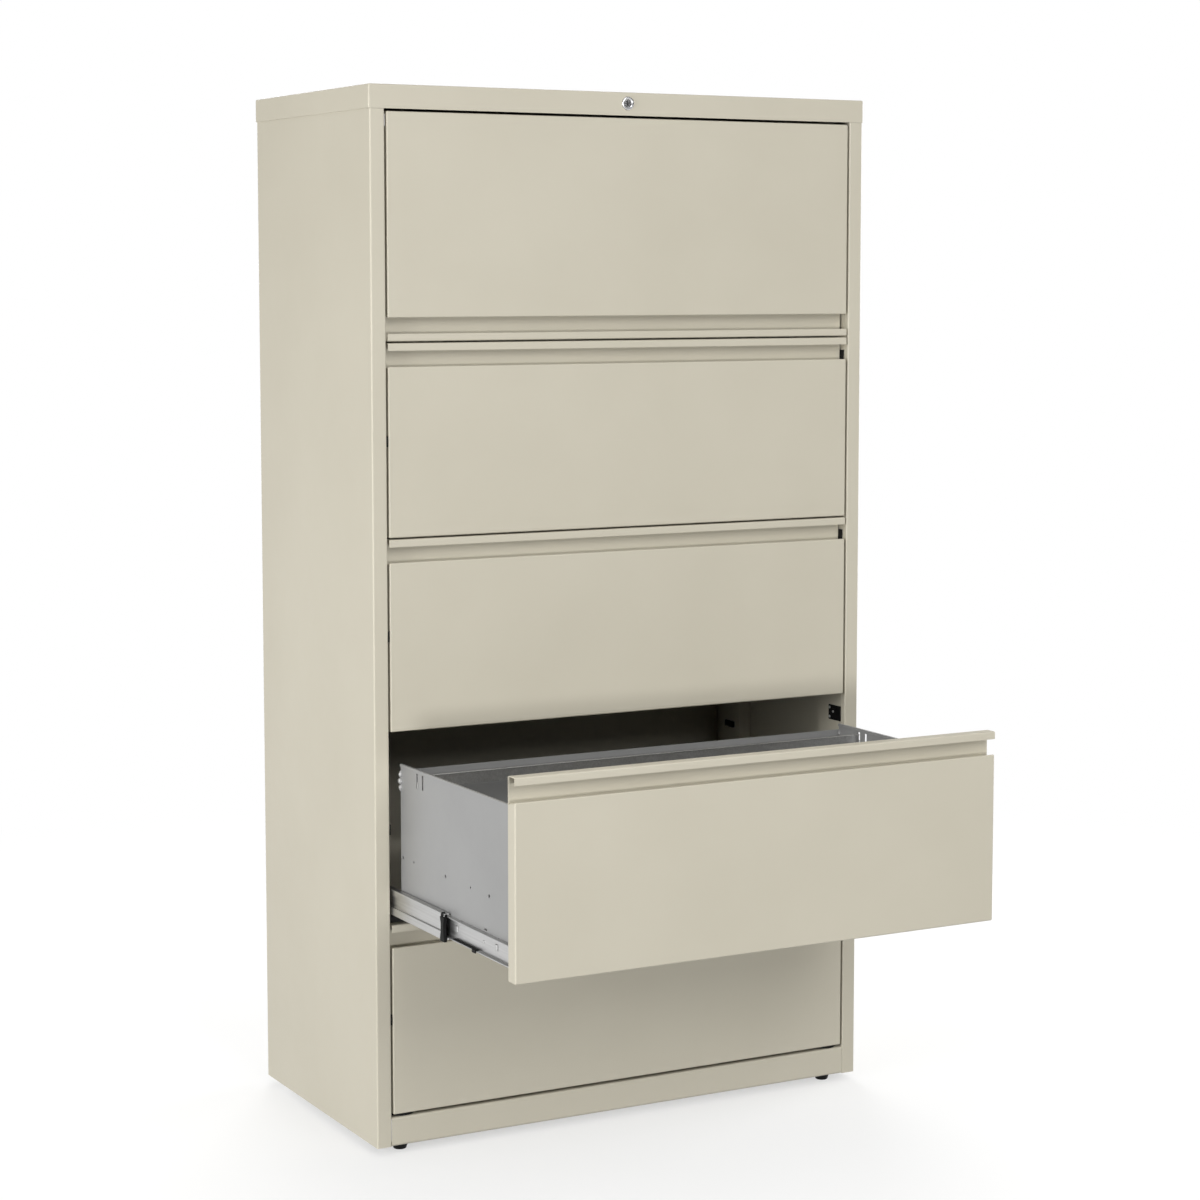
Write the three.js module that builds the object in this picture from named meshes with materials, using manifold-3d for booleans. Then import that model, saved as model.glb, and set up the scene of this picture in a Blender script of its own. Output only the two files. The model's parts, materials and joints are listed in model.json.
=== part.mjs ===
// Five-high lateral filing cabinet in painted sheet steel, in millimetres, +Z up.
// A receding flip-up door closes the top compartment and four file drawers hang below it.
// The third drawer stands open at its stop. X runs to the right, Y to the back.
// The origin is on the floor, under the middle of the space that the open cabinet takes up.

import * as THREE from 'three';
import { mergeVertices } from 'three/addons/utils/BufferGeometryUtils.js';
import Module from 'manifold-3d';

const wasm = await Module();
wasm.setup();

// Clearance between pieces that are fastened to, or run on, each other
const FIT = 0.3;

// Case
const CABINET_WIDTH = 914.4;
const CABINET_DEPTH = 473.1;
const CAP_HEIGHT = 37.4;
const CAP_OVERHANG = 1.6;
const CAP_SHEET = 1.2;
const CASE_SHEET = 1.0;
const POST_WIDTH = 25.3;
const POST_RETURN = 12;
const REAR_FLANGE = 20;
const PLINTH_HEIGHT = 47.1;
const PLINTH_RETURN = 12;
const PLINTH_FOOT_RETURN = 22;

// Door and drawer fronts
const DRAWER_COUNT = 4;
const OPEN_DRAWER = 3;
const FRONT_HEIGHT = 305.6;
const BOTTOM_FRONT_EXTRA = 3.3;
const DOOR_HEIGHT = 356.4;
const FRONT_DEPTH = 22.1;
const FRONT_SHEET = 1.0;
const FRONT_GAP = 2.6;
const SIDE_GAP = 3.1;
const TOP_GAP = 3.9;
const BASE_GAP = 4.7;
const LIP_HEIGHT = 11.9;
const PULL_HEIGHT = 24.6;
const CHEEK_RETURN = 22;

// Uprights that carry the slides
const UPRIGHT_DEPTH = 70;
const UPRIGHT_POST_GAP = 1;
const UPRIGHT_REAR_SETBACK = 52;

// Ball-bearing slides, three members a side
const SLIDE_SPACE = 16;
const SLIDE_SHEET = 1.5;
const SLIDE_FRONT_GAP = 1.9;
const SLIDE_RUN_GAP = 1.2;
const SLIDE_REAR_CLEARANCE = 43;
const SLIDE_OVERTRAVEL = 29;
const SLIDE_RISE = 35.1;
const CABINET_MEMBER_HEIGHT = 50.2;
const CABINET_MEMBER_FLANGE = 8.7;
const OUTER_RACE_GAP = 2.95;
const INNER_RACE_GAP = 2.65;
const MIDDLE_STANDOFF = 3.6;
const MIDDLE_GROOVE = 2.5;
const MIDDLE_TOP_BEAD = 9.7;
const MIDDLE_BOTTOM_BEAD = 12.6;
const MIDDLE_INSET = 2;
const DRAWER_MEMBER_GAP = 0.6;
const BALL_STRIP_LENGTH = 150;
const BALL_STRIP_WIDTH = 3;

// Drawer tray and hang rail
const TRAY_SHEET = 1.2;
const TRAY_TOP_DROP = 47.3;
const TRAY_BOTTOM_RISE = 14;
const TRAY_REAR_SETBACK = 3;
const TRAY_WALL_DROP = 10;
const TRAY_LEDGE = 26;
const HEM_WIDTH = 3;
const HEM_HEIGHT = 4.3;
const HANG_SLOT_WIDTH = 6;
const HANG_SLOT_HEIGHT = 23.5;
const HANG_SLOT_DROP = 6.2;
const HANG_SLOTS_FROM_REAR = [62, 82];
const HANG_RAIL_THICKNESS = 2;
const HANG_RAIL_HEIGHT = 20;
const HANG_RAIL_BEAD = 5;
const TRAY_HOLE_DROP = 149.4;
const TRAY_HOLES = [
  { fromRear: 7, radius: 2.8 },
  { fromRear: 48, radius: 1.9 },
  { fromRear: 164, radius: 2.8 },
  { fromRear: 252, radius: 1.9 },
  { fromRear: 316, radius: 2.8 },
];
const SLIDE_SLOT_FROM_FRONT = 123;
const SLIDE_SLOT_WIDTH = 9;
const SLIDE_SLOT_HEIGHT = 3;
const SLIDE_SLOT_RISE = 19;

// Receding door
const HINGE_SETBACK = 12;
const HINGE_DROP = 14;
const HINGE_PIN_RADIUS = 3;
const HINGE_PIN_REACH = 6;
const CARRIAGE_PLATE = 1.5;
const CARRIAGE_PLATE_LEAD = 7;
const CARRIAGE_BAR_GAP = 1.6;
const CARRIAGE_BAR_SIZE = 18;
const CARRIAGE_BAR_WALL = 1.5;
const GLIDE_SETBACK = 8;
const GLIDE_LENGTH = 52;
const GLIDE_HEIGHT = 18;
const DOOR_RAIL_SHEET = 1.2;
const DOOR_RAIL_POST_GAP = 2;
const DOOR_RAIL_EDGE_GAP = 2;
const DOOR_RAIL_REAR_GAP = 8;

// Shelf of the top compartment
const SHELF_FRONT_GAP = 3.9;
const SHELF_FLANGE = 15;
const SHELF_REAR_CLEARANCE = 5;

// Lock and its linkage
const LOCK_DROP = 17.8;
const LOCK_HEAD_RADIUS = 11;
const LOCK_HEAD_PROUD = 2.6;
const LOCK_BARREL_RADIUS = 9.2;
const LOCK_BARREL_LENGTH = 16;
const LOCK_PLUG_RADIUS = 6;
const LOCK_PLUG_PROUD = 2.2;
const KEYWAY_WIDTH = 1.6;
const KEYWAY_HEIGHT = 6;
const KEYWAY_DEPTH = 5;
const CAM_RADIUS = 9;
const CAM_THICKNESS = 2.2;
const LUG_RADIUS = 2;
const LUG_THROW = 6.5;
const LUG_LENGTH = 4.5;
const LINK_THICKNESS = 2;
const LINK_WALL = 2;
const LINK_LEFT_END = 14;
const LINK_SLOT_CLEARANCE = 0.4;
const LINK_SIDE_CLEARANCE = 0.8;
const LOCK_BAR_WIDTH = 10;
const LOCK_BAR_THICKNESS = 2;
const LOCK_BAR_BOTTOM = 100;
const LOCK_BAR_PIN_RISE = -1.2;

// Levelling feet
const FOOT_HEIGHT = 12.3;
const FOOT_INSET_X = 50.6;
const FOOT_INSET_Y = 26;
const FOOT_PAD_RADIUS = 13;
const FOOT_BASE_RADIUS = 10.5;
const FOOT_PAD_HEIGHT = 9;
const FOOT_STUD_RADIUS = 4;
const FOOT_STUD_PROUD = 3;

// Facets around round pieces
const ROUND = 24;
const SMALL_ROUND = 12;

// Widths and depths worked out from the driving sizes
const bodyHalf = CABINET_WIDTH / 2 - CAP_OVERHANG;
const bodyDepth = CABINET_DEPTH - CAP_OVERHANG;
const openingHalf = bodyHalf - POST_WIDTH;
const frontHalf = openingHalf - SIDE_GAP;
const trayHalf = openingHalf - SLIDE_SPACE;
const sideInner = bodyHalf - CASE_SHEET;
const slideEnd = CABINET_DEPTH - SLIDE_REAR_CLEARANCE;
const slideFront = FRONT_DEPTH + SLIDE_FRONT_GAP;
const drawerTravel = slideEnd - slideFront + SLIDE_OVERTRAVEL;
const trayFront = FRONT_DEPTH + FIT;
const trayRear = slideEnd - TRAY_REAR_SETBACK;
const backInner = bodyDepth - 2 * CASE_SHEET - FIT;

// Heights worked out from the floor up
const plinthTop = FOOT_HEIGHT + PLINTH_HEIGHT;
const bottomFrontTop = plinthTop + BASE_GAP + FRONT_HEIGHT + BOTTOM_FRONT_EXTRA;
const drawerPitch = FRONT_HEIGHT + FRONT_GAP;
const doorBottom = bottomFrontTop + (DRAWER_COUNT - 1) * drawerPitch + FRONT_GAP;
const doorTop = doorBottom + DOOR_HEIGHT;
const capBottom = doorTop + TOP_GAP;
const capTop = capBottom + CAP_HEIGHT;
const panTop = plinthTop - CASE_SHEET - FIT;
const hingeZ = doorTop - HINGE_DROP;
const doorRailHalf = GLIDE_HEIGHT / 2 + FIT + DOOR_RAIL_SHEET;
const lockZ = capTop - LOCK_DROP;
const middleHeight = CABINET_MEMBER_HEIGHT - 2 * (SLIDE_SHEET + OUTER_RACE_GAP);
const drawerMemberHeight = middleHeight - 2 * (SLIDE_SHEET + INNER_RACE_GAP);

// Finishes
const putty = finish(0xc6bfae, 0.55, 0.1);
const zinc = finish(0xb9bcc0, 0.35, 0.9);
const trayGrey = finish(0xaeaeac, 0.5, 0.4);
const blackPlastic = finish(0x17171a, 0.6, 0.0);
const chrome = finish(0xd4d6d8, 0.2, 1.0);

function finish(color, roughness, metalness) {
  return new THREE.MeshStandardMaterial({ color, roughness, metalness, flatShading: true });
}

// Solids from three.js geometry, joined and cut
function toSolid(geometry) {
  const plain = geometry.clone();
  plain.deleteAttribute('normal');
  plain.deleteAttribute('uv');
  const merged = mergeVertices(plain);
  const vertProperties = new Float32Array(merged.attributes.position.array);
  const triVerts = new Uint32Array(merged.index.array);
  return new wasm.Manifold(new wasm.Mesh({ numProp: 3, vertProperties, triVerts }));
}

function toGeometry(solid) {
  const { vertProperties, triVerts } = solid.getMesh();
  const geometry = new THREE.BufferGeometry();
  geometry.setAttribute('position', new THREE.BufferAttribute(vertProperties, 3));
  geometry.setIndex(new THREE.BufferAttribute(triVerts, 1));
  return geometry;
}

function join(...geometries) {
  return toGeometry(geometries.map(toSolid).reduce((whole, piece) => whole.add(piece)));
}

function cut(geometry, ...tools) {
  return toGeometry(tools.map(toSolid).reduce((rest, tool) => rest.subtract(tool), toSolid(geometry)));
}

// A block between two corners, given as ranges along X, Y and Z
function block([x0, x1], [y0, y1], [z0, z1]) {
  const geometry = new THREE.BoxGeometry(Math.abs(x1 - x0), y1 - y0, z1 - z0);
  return geometry.translate((x0 + x1) / 2, (y0 + y1) / 2, (z0 + z1) / 2);
}

// A straight prism: the outline is (x, y) along Z, (y, z) along X, or (x, z) along Y
function prism(axis, outline, from, to) {
  const shape = new THREE.Shape(outline.map(([a, b]) => new THREE.Vector2(a, b)));
  const geometry = new THREE.ExtrudeGeometry(shape, { depth: to - from, bevelEnabled: false });
  const [x, y, z] = [new THREE.Vector3(1, 0, 0), new THREE.Vector3(0, 1, 0), new THREE.Vector3(0, 0, 1)];
  if (axis === 'x') {
    geometry.applyMatrix4(new THREE.Matrix4().makeBasis(y, z, x));
    return geometry.translate(from, 0, 0);
  }
  if (axis === 'y') {
    geometry.applyMatrix4(new THREE.Matrix4().makeBasis(x, z, y.clone().negate()));
    return geometry.translate(0, to, 0);
  }
  return geometry.translate(0, 0, from);
}

// A round rod along one axis, centred on the two other coordinates
function rod(axis, [a, b], radius, from, to, facets = SMALL_ROUND) {
  const geometry = new THREE.CylinderGeometry(radius, radius, to - from, facets);
  const middle = (from + to) / 2;
  if (axis === 'x') return geometry.rotateZ(Math.PI / 2).translate(middle, a, b);
  if (axis === 'y') return geometry.translate(a, middle, b);
  return geometry.rotateX(Math.PI / 2).translate(a, b, middle);
}

// A turned solid about the Y axis, from (radius, y) points
function turned(points, facets = ROUND) {
  return new THREE.LatheGeometry(points.map(([r, y]) => new THREE.Vector2(r, y)), facets);
}

// The section of a sheet folded at right angles: a path along one face, thickened to its right
function folded(path, sheet) {
  const rights = path.slice(1).map(([x, y], i) => {
    const [px, py] = path[i];
    const length = Math.hypot(x - px, y - py);
    return [(y - py) / length, -(x - px) / length];
  });
  const far = path.map(([x, y], i) => {
    const before = rights[Math.max(i - 1, 0)];
    const after = rights[Math.min(i, rights.length - 1)];
    const corner = i > 0 && i < path.length - 1;
    const dx = corner ? before[0] + after[0] : after[0];
    const dy = corner ? before[1] + after[1] : after[1];
    return [x + sheet * dx, y + sheet * dy];
  });
  return [...path, ...far.reverse()];
}

// The pieces hang on one group per moving assembly, and the case holds them all
const cabinet = new THREE.Group();

function add(group, name, geometry, material) {
  const mesh = new THREE.Mesh(geometry, material);
  mesh.name = name;
  group.add(mesh);
}

const SIDES = [
  { word: 'left', sign: -1 },
  { word: 'right', sign: 1 },
];

// Mirrors an outline's first coordinate for the left or right side
function onSide(sign, outline) {
  return outline.map(([x, ...rest]) => [sign * x, ...rest]);
}

function sideRange(sign, near, far) {
  return sign > 0 ? [near, far] : [-far, -near];
}

// Side panel: post at the front, flat side, flange at the rear
function sidePanel(sign) {
  const outline = [
    [bodyHalf, 0],
    [openingHalf, 0],
    [openingHalf, POST_RETURN],
    [openingHalf + CASE_SHEET, POST_RETURN],
    [openingHalf + CASE_SHEET, CASE_SHEET],
    [sideInner, CASE_SHEET],
    [sideInner, bodyDepth - CASE_SHEET],
    [bodyHalf - REAR_FLANGE, bodyDepth - CASE_SHEET],
    [bodyHalf - REAR_FLANGE, bodyDepth],
    [bodyHalf, bodyDepth],
  ];
  const panel = prism('z', onSide(sign, outline), FOOT_HEIGHT, capTop - CAP_SHEET - FIT);
  const capZone = [capBottom - FIT, capTop];
  const postHead = block(sideRange(sign, openingHalf - 1, sideInner), [-1, POST_RETURN + 1], capZone);
  const frontEdge = block(sideRange(sign, sideInner - 1, bodyHalf + 1), [-1, CAP_SHEET + FIT], capZone);
  return cut(panel, postHead, frontEdge);
}

// Top cap: a shallow lid whose front flange carries the lock
function topCap() {
  const half = CABINET_WIDTH / 2;
  const lid = block([-half, half], [0, CABINET_DEPTH], [capBottom, capTop]);
  const hollow = block(
    [-half + CAP_SHEET, half - CAP_SHEET],
    [CAP_SHEET, CABINET_DEPTH - CAP_SHEET],
    [capBottom - 1, capTop - CAP_SHEET],
  );
  const lockHole = rod('y', [0, lockZ], LOCK_BARREL_RADIUS + FIT, -1, CAP_SHEET + 1, ROUND);
  return cut(lid, hollow, lockHole);
}

function backPanel() {
  const half = sideInner - FIT;
  return block([-half, half], [backInner, backInner + CASE_SHEET], [panTop + FIT, capTop - CAP_SHEET - FIT]);
}

// Bottom pan: floor of the case, notched round the posts and bored for the feet
function footPlaces() {
  const x = bodyHalf - FOOT_INSET_X;
  return [
    { name: 'front_left', x: -x, y: FOOT_INSET_Y },
    { name: 'front_right', x, y: FOOT_INSET_Y },
    { name: 'rear_left', x: -x, y: bodyDepth - FOOT_INSET_Y },
    { name: 'rear_right', x, y: bodyDepth - FOOT_INSET_Y },
  ];
}

function bottomPan() {
  const half = sideInner - FIT;
  const rear = bodyDepth - CASE_SHEET - FIT;
  const section = folded([
    [-half, FOOT_HEIGHT],
    [-half, panTop],
    [half, panTop],
    [half, FOOT_HEIGHT],
  ], CASE_SHEET);
  const pan = prism('y', section, CASE_SHEET + FIT, rear);
  const tools = SIDES.map(({ sign }) => block(
    sideRange(sign, openingHalf - FIT, bodyHalf),
    [0, POST_RETURN + FIT],
    [0, panTop + 1],
  ));
  const holes = footPlaces().map(({ x, y }) => rod(
    'z', [x, y], FOOT_STUD_RADIUS + FIT, panTop - CASE_SHEET - 1, panTop + 1,
  ));
  return cut(pan, ...tools, ...holes);
}

// Plinth between the posts, with returns at its top and its bottom
function plinth() {
  const half = openingHalf - FIT;
  const section = folded([
    [PLINTH_FOOT_RETURN, FOOT_HEIGHT],
    [0, FOOT_HEIGHT],
    [0, plinthTop],
    [PLINTH_RETURN, plinthTop],
  ], CASE_SHEET);
  const board = prism('x', section, -half, half);
  const feet = footPlaces().map(({ x, y }) => rod(
    'z', [x, y], FOOT_PAD_RADIUS + FIT, FOOT_HEIGHT - 1, FOOT_HEIGHT + CASE_SHEET + 1, ROUND,
  ));
  return cut(board, ...feet);
}

// Uprights stand on the pan, end under the door rails and carry the slides
function upright(sign, front) {
  const section = folded([
    [sideInner - FIT, front],
    [openingHalf, front],
    [openingHalf, front + UPRIGHT_DEPTH],
    [sideInner - FIT, front + UPRIGHT_DEPTH],
  ], CASE_SHEET);
  return prism('z', onSide(sign, section), panTop + FIT, hingeZ - doorRailHalf - FIT);
}

function shelf() {
  const half = openingHalf - FIT;
  const front = FRONT_DEPTH + SHELF_FRONT_GAP;
  const rear = backInner - SHELF_REAR_CLEARANCE;
  const section = folded([
    [front, doorBottom - SHELF_FLANGE],
    [front, doorBottom],
    [rear, doorBottom],
    [rear, doorBottom - SHELF_FLANGE],
  ], CASE_SHEET);
  return prism('x', section, -half, half);
}

function levellingFoot({ x, y }) {
  const stud = panTop + FOOT_STUD_PROUD;
  const profile = [
    [0, 0],
    [FOOT_BASE_RADIUS, 0],
    [FOOT_PAD_RADIUS, FOOT_PAD_HEIGHT / 3],
    [FOOT_PAD_RADIUS, FOOT_PAD_HEIGHT],
    [FOOT_STUD_RADIUS, FOOT_PAD_HEIGHT],
    [FOOT_STUD_RADIUS, stud],
    [0, stud],
  ];
  return turned(profile).rotateX(Math.PI / 2).translate(x, y, 0);
}

for (const { word, sign } of SIDES) {
  add(cabinet, `${word}_side_panel`, sidePanel(sign), putty);
}
add(cabinet, 'top_cap', topCap(), putty);
add(cabinet, 'back_panel', backPanel(), putty);
add(cabinet, 'bottom_pan', bottomPan(), putty);
add(cabinet, 'base_plinth', plinth(), putty);
add(cabinet, 'compartment_shelf', shelf(), putty);
for (const { word, sign } of SIDES) {
  const rearStart = bodyDepth - UPRIGHT_REAR_SETBACK - UPRIGHT_DEPTH;
  add(cabinet, `${word}_front_upright`, upright(sign, POST_RETURN + UPRIGHT_POST_GAP), putty);
  add(cabinet, `${word}_rear_upright`, upright(sign, rearStart), putty);
}
for (const place of footPlaces()) {
  add(cabinet, `${place.name}_foot`, levellingFoot(place), blackPlastic);
}

// A front panel with a full-width finger pull under its lip. Its top edge is at z = 0,
// and its cheeks turn in at the back, where the tray is fastened to it.
function frontPanel(height) {
  const inner = FRONT_DEPTH - FRONT_SHEET;
  const panelTop = -LIP_HEIGHT - PULL_HEIGHT;
  const section = folded([
    [FRONT_DEPTH, -height],
    [0, -height],
    [0, panelTop],
    [inner, panelTop],
    [inner, -FRONT_SHEET],
    [FRONT_SHEET, -FRONT_SHEET],
    [FRONT_SHEET, -LIP_HEIGHT],
  ], FRONT_SHEET);
  const cheek = folded([
    [frontHalf, 0],
    [frontHalf, FRONT_DEPTH],
    [frontHalf - CHEEK_RETURN, FRONT_DEPTH],
  ], -FRONT_SHEET);
  const cheeks = SIDES.map(({ sign }) => prism('z', onSide(sign, cheek), -height, panelTop));
  return join(prism('x', section, -frontHalf, frontHalf), ...cheeks);
}

// Drawer tray: sides, bottom, back and front wall, with hemmed sides and a ledge at the front
function tray(top, bottom, slideCentre) {
  const inner = trayHalf - TRAY_SHEET;
  const wallTop = top - TRAY_WALL_DROP;
  const shell = block([-trayHalf, trayHalf], [trayFront, trayRear], [bottom, top]);
  const hollow = block(
    [-inner, inner],
    [trayFront + TRAY_SHEET, trayRear - TRAY_SHEET],
    [bottom + TRAY_SHEET, top + 1],
  );
  const overWalls = block([-inner, inner], [trayFront - 1, trayRear + 1], [wallTop, top + 1]);
  const ledge = block(
    [-inner, inner],
    [trayFront, trayFront + TRAY_LEDGE],
    [wallTop - TRAY_SHEET, wallTop],
  );
  const hems = SIDES.map(({ sign }) => block(
    sideRange(sign, trayHalf - HEM_WIDTH, trayHalf + TRAY_SHEET),
    [trayFront, trayRear],
    [top - HEM_HEIGHT, top],
  ));
  const slots = HANG_SLOTS_FROM_REAR.map((fromRear) => block(
    [-trayHalf - 1, trayHalf + 1],
    [trayRear - fromRear - HANG_SLOT_WIDTH / 2, trayRear - fromRear + HANG_SLOT_WIDTH / 2],
    [top - HANG_SLOT_DROP - HANG_SLOT_HEIGHT, top - HANG_SLOT_DROP],
  ));
  const holes = TRAY_HOLES.map(({ fromRear, radius }) => rod(
    'x', [trayRear - fromRear, top - TRAY_HOLE_DROP], radius, -trayHalf - 1, trayHalf + 1,
  ));
  const slideSlot = block(
    [-trayHalf - 1, trayHalf + 1],
    [SLIDE_SLOT_FROM_FRONT - SLIDE_SLOT_WIDTH / 2, SLIDE_SLOT_FROM_FRONT + SLIDE_SLOT_WIDTH / 2],
    [slideCentre + SLIDE_SLOT_RISE, slideCentre + SLIDE_SLOT_RISE + SLIDE_SLOT_HEIGHT],
  );
  return cut(join(cut(shell, hollow, overWalls), ledge, ...hems), ...slots, ...holes, slideSlot);
}

// Hang rail across the tray, hooked into the slots nearest the back
function hangRail(top) {
  const y = trayRear - HANG_SLOTS_FROM_REAR[0];
  const seat = top - HANG_SLOT_DROP - HANG_SLOT_HEIGHT + FIT;
  const half = trayHalf - TRAY_SHEET - FIT;
  const thick = [y - HANG_RAIL_THICKNESS / 2, y + HANG_RAIL_THICKNESS / 2];
  const bead = [y - HANG_RAIL_BEAD / 2, y + HANG_RAIL_BEAD / 2];
  const railTop = seat + HANG_RAIL_HEIGHT;
  const tabs = block([-trayHalf, trayHalf], thick, [seat, seat + HANG_RAIL_HEIGHT / 2]);
  const web = block([-half, half], thick, [seat, railTop]);
  const edge = block([-half, half], bead, [railTop - HANG_RAIL_THICKNESS, railTop]);
  return join(tabs, web, edge);
}

// Slide members: sections are (distance in from the upright, z) about the slide's centre line
function slideSection(sign, points, centre) {
  return points.map(([inward, z]) => [sign * (openingHalf - inward), z + centre]);
}

function cabinetMember(sign, centre) {
  const half = CABINET_MEMBER_HEIGHT / 2;
  const reach = FIT + CABINET_MEMBER_FLANGE;
  const section = folded([[reach, half], [FIT, half], [FIT, -half], [reach, -half]], -SLIDE_SHEET);
  return prism('y', slideSection(sign, section, centre), slideFront, slideEnd);
}

function middleMember(sign, centre) {
  const half = middleHeight / 2;
  const reach = SLIDE_SPACE - FIT - SLIDE_SHEET - SLIDE_RUN_GAP;
  const web = MIDDLE_STANDOFF + MIDDLE_GROOVE;
  const section = folded([
    [reach, half],
    [MIDDLE_STANDOFF, half],
    [MIDDLE_STANDOFF, half - MIDDLE_TOP_BEAD],
    [web, half - MIDDLE_TOP_BEAD],
    [web, -half + MIDDLE_BOTTOM_BEAD],
    [MIDDLE_STANDOFF, -half + MIDDLE_BOTTOM_BEAD],
    [MIDDLE_STANDOFF, -half],
    [reach, -half],
  ], -SLIDE_SHEET);
  const front = slideFront + MIDDLE_INSET;
  const rear = slideEnd - 2 * MIDDLE_INSET;
  const bar = prism('y', slideSection(sign, section, centre), front, rear);
  // Rows of balls in their cages: outside at the rear end, inside at the front end
  const outerRace = CABINET_MEMBER_HEIGHT / 2 - SLIDE_SHEET - FIT;
  const innerRace = drawerMemberHeight / 2 + FIT;
  const outerIn = FIT + CABINET_MEMBER_FLANGE - BALL_STRIP_WIDTH;
  const innerIn = reach - BALL_STRIP_WIDTH;
  const rows = [
    { inward: outerIn, low: half - SLIDE_SHEET, high: outerRace, from: rear - BALL_STRIP_LENGTH },
    { inward: innerIn, low: innerRace, high: half, from: front },
  ];
  const strips = [1, -1].flatMap((up) => rows.map(({ inward, low, high, from }) => {
    const far = inward + BALL_STRIP_WIDTH;
    const strip = [[inward, up * low], [far, up * low], [far, up * high], [inward, up * high]];
    return prism('y', slideSection(sign, strip, centre), from, from + BALL_STRIP_LENGTH);
  }));
  return join(bar, ...strips);
}

function drawerMember(sign, centre) {
  const half = drawerMemberHeight / 2;
  const back = SLIDE_SPACE - FIT;
  const reach = MIDDLE_STANDOFF + MIDDLE_GROOVE + SLIDE_SHEET + DRAWER_MEMBER_GAP;
  const section = folded([[reach, half], [back, half], [back, -half], [reach, -half]], SLIDE_SHEET);
  return prism('y', slideSection(sign, section, centre), trayFront, trayRear);
}

for (let drawer = 1; drawer <= DRAWER_COUNT; drawer += 1) {
  const name = `drawer_${drawer}`;
  const topZ = bottomFrontTop + (DRAWER_COUNT - drawer) * drawerPitch;
  const out = drawer === OPEN_DRAWER ? drawerTravel : 0;
  const height = drawer === DRAWER_COUNT ? FRONT_HEIGHT + BOTTOM_FRONT_EXTRA : FRONT_HEIGHT;
  const trayTop = -TRAY_TOP_DROP;
  const slideCentre = SLIDE_RISE - FRONT_HEIGHT;

  const fixed = new THREE.Group();
  const middle = new THREE.Group();
  const moving = new THREE.Group();
  fixed.position.set(0, 0, topZ);
  middle.position.set(0, -out / 2, topZ);
  moving.position.set(0, -out, topZ);
  cabinet.add(fixed, middle, moving);

  add(moving, `${name}_front`, frontPanel(height), putty);
  add(moving, `${name}_tray`, tray(trayTop, TRAY_BOTTOM_RISE - FRONT_HEIGHT, slideCentre), trayGrey);
  add(moving, `${name}_hang_rail`, hangRail(trayTop), zinc);
  for (const { word, sign } of SIDES) {
    add(fixed, `${name}_${word}_cabinet_member`, cabinetMember(sign, slideCentre), zinc);
    add(middle, `${name}_${word}_middle_member`, middleMember(sign, slideCentre), zinc);
    add(moving, `${name}_${word}_drawer_member`, drawerMember(sign, slideCentre), zinc);
  }
}

// Flip-up door: a front panel turned upside down, so that its pull is along the bottom
function doorPanel() {
  const panel = frontPanel(DOOR_HEIGHT).rotateY(Math.PI).translate(0, 0, doorBottom);
  const pinHoles = rod(
    'x', [HINGE_SETBACK, hingeZ], HINGE_PIN_RADIUS + FIT, -frontHalf - 1, frontHalf + 1,
  );
  return cut(panel, pinHoles);
}

// Carriage: cross bar, end plates, hinge pins and the glides that run in the rails
function doorCarriage() {
  const plateIn = frontHalf + (SIDE_GAP - CARRIAGE_PLATE) / 2;
  const plateOut = plateIn + CARRIAGE_PLATE;
  const doorSweep = Math.hypot(Math.max(HINGE_SETBACK, FRONT_DEPTH - HINGE_SETBACK), HINGE_DROP);
  const barFront = HINGE_SETBACK + doorSweep + CARRIAGE_BAR_GAP;
  const barRear = barFront + CARRIAGE_BAR_SIZE;
  const barHalf = CARRIAGE_BAR_SIZE / 2;
  const wall = CARRIAGE_BAR_WALL;
  const barSection = folded([
    [barFront, hingeZ - barHalf],
    [barFront, hingeZ + barHalf],
    [barRear, hingeZ + barHalf],
    [barRear, hingeZ - barHalf],
  ], wall);
  const bar = prism('x', barSection, -plateOut, plateOut);
  const ends = SIDES.flatMap(({ sign }) => [
    block(
      sideRange(sign, plateIn, plateOut),
      [HINGE_SETBACK - CARRIAGE_PLATE_LEAD, barRear],
      [hingeZ - barHalf, hingeZ + barHalf],
    ),
    block(
      sideRange(sign, plateIn, sideInner - 2 * FIT - DOOR_RAIL_SHEET),
      [HINGE_SETBACK + GLIDE_SETBACK, HINGE_SETBACK + GLIDE_SETBACK + GLIDE_LENGTH],
      [hingeZ - GLIDE_HEIGHT / 2, hingeZ + GLIDE_HEIGHT / 2],
    ),
    rod(
      'x', [HINGE_SETBACK, hingeZ], HINGE_PIN_RADIUS,
      ...sideRange(sign, frontHalf - HINGE_PIN_REACH, plateOut),
    ),
  ]);
  return join(bar, ...ends);
}

function doorRail(sign) {
  const inner = openingHalf + DOOR_RAIL_EDGE_GAP;
  const outer = sideInner - FIT;
  const section = folded([
    [inner, hingeZ + doorRailHalf],
    [outer, hingeZ + doorRailHalf],
    [outer, hingeZ - doorRailHalf],
    [inner, hingeZ - doorRailHalf],
  ], DOOR_RAIL_SHEET);
  const front = POST_RETURN + DOOR_RAIL_POST_GAP;
  return prism('y', onSide(sign, section), front, backInner - DOOR_RAIL_REAR_GAP);
}

add(cabinet, 'door_panel', doorPanel(), putty);
add(cabinet, 'door_carriage', doorCarriage(), zinc);
for (const { word, sign } of SIDES) {
  add(cabinet, `${word}_door_rail`, doorRail(sign), zinc);
}

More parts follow.
